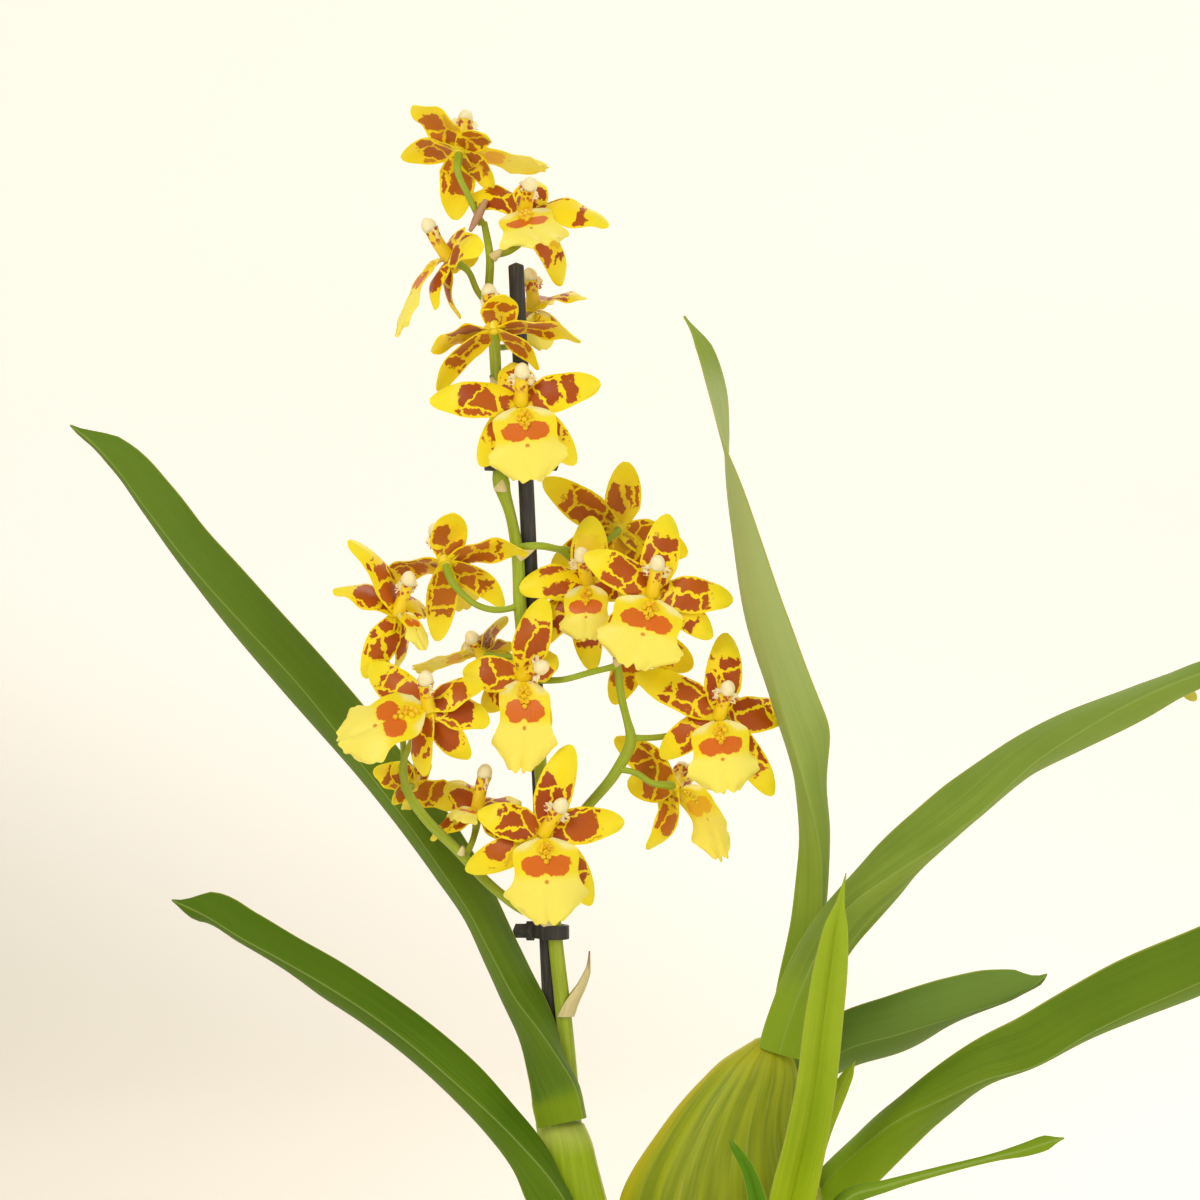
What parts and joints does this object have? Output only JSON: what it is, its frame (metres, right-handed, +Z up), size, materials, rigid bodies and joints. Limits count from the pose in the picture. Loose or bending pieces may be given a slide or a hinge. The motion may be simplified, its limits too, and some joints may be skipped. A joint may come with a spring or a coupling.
{
  "type": "oncidium orchid",
  "caption": "Potted oncidium orchid: a branched spike of yellow and chestnut flowers tied to a dark stake, ribbed bulbs, long arching leaves and a plain nursery pot.",
  "frame": {"origin": "centre of the pot's flat base, at the height of the surface it stands on", "axes": "+Z up along the pot's axis, -Y towards the viewer of the picture, +X to the viewer's right"},
  "size_m": [0.4532, 0.132, 0.5217],
  "materials": {
    "pot_plastic": "matt",
    "bark": "matt",
    "bulb": "satin",
    "leaf": "satin",
    "young_leaf": "satin",
    "stem": "satin",
    "dry_bract": "matt",
    "tepal": "satin",
    "lip": "satin",
    "dark_plastic": "matt"
  },
  "bodies": {
    "root": {"pot": "pot_plastic", "potting_medium": "bark", "pseudobulb_large": "bulb", "pseudobulb_small": "bulb", "leaf_left_tall": "leaf", "leaf_left_low": "leaf", "leaf_twisted": "leaf", "leaf_arching": "leaf", "leaf_short": "leaf", "leaf_long": "leaf", "leaf_thin": "leaf", "leaf_young": "young_leaf", "leaf_small_light": "young_leaf", "leaf_small_front": "young_leaf", "stake": "dark_plastic", "clip_upper": "dark_plastic", "clip_lower": "dark_plastic", "flower_spike": "stem", "spike_bract": "dry_bract", "young_spike": "stem", "flower_a": "tepal", "lip_a": "lip", "flower_b": "tepal", "lip_b": "lip", "flower_c": "tepal", "lip_c": "lip", "flower_d": "tepal", "lip_d": "lip", "flower_e": "tepal", "lip_e": "lip", "flower_f": "tepal", "lip_f": "lip", "flower_g": "tepal", "lip_g": "lip", "flower_h": "tepal", "lip_h": "lip", "flower_i": "tepal", "lip_i": "lip", "flower_j": "tepal", "lip_j": "lip", "flower_k": "tepal", "lip_k": "lip", "flower_l": "tepal", "lip_l": "lip", "flower_m": "tepal", "lip_m": "lip", "flower_n": "tepal", "lip_n": "lip", "flower_o": "tepal", "lip_o": "lip", "flower_p": "tepal", "lip_p": "lip", "flower_q": "tepal", "lip_q": "lip", "flower_r": "tepal", "lip_r": "lip", "flower_t": "tepal", "lip_t": "lip", "flower_v": "tepal", "lip_v": "lip"}
  },
  "joints": []
}
